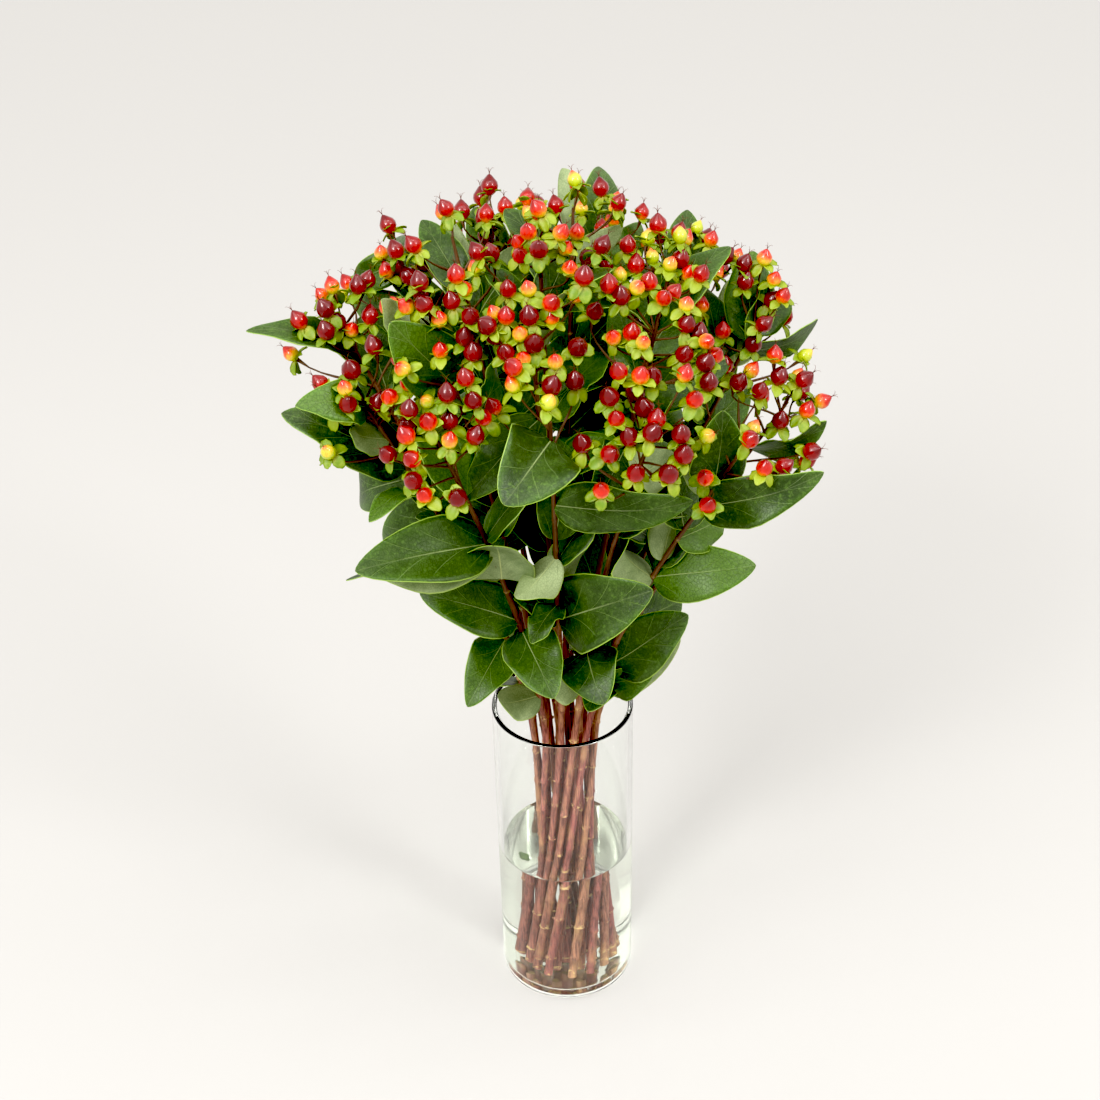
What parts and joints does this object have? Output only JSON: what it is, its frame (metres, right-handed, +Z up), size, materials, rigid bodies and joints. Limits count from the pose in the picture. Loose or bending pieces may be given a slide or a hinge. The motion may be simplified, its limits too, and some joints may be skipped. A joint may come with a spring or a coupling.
{
  "type": "vase of hypericum berry stems",
  "caption": "Bunch of leafy hypericum stems with red berries, standing in a clear cylinder vase of water.",
  "frame": {"origin": "centre of the vase's underside, on the surface it stands on", "axes": "+Z up along the vase's axis, -Y towards the front of the bunch, +X to the right"},
  "size_m": [0.3549, 0.3308, 0.6296],
  "materials": {
    "glass": "clear smooth soda glass with a fire-polished rim",
    "water": "clear still water",
    "hypericum": "red-brown woody stems, deep green leaves with pale undersides, glossy red berries on yellow-green sepals"
  },
  "bodies": {
    "root": {"vase": "glass", "water": "water", "stem_01": "hypericum", "stem_02": "hypericum", "stem_03": "hypericum", "stem_04": "hypericum", "stem_05": "hypericum", "stem_06": "hypericum", "stem_07": "hypericum", "stem_08": "hypericum", "stem_09": "hypericum", "stem_10": "hypericum", "stem_11": "hypericum", "stem_12": "hypericum", "stem_13": "hypericum", "stem_14": "hypericum", "stem_15": "hypericum", "stem_16": "hypericum", "stem_17": "hypericum", "stem_18": "hypericum", "stem_19": "hypericum"}
  },
  "joints": []
}
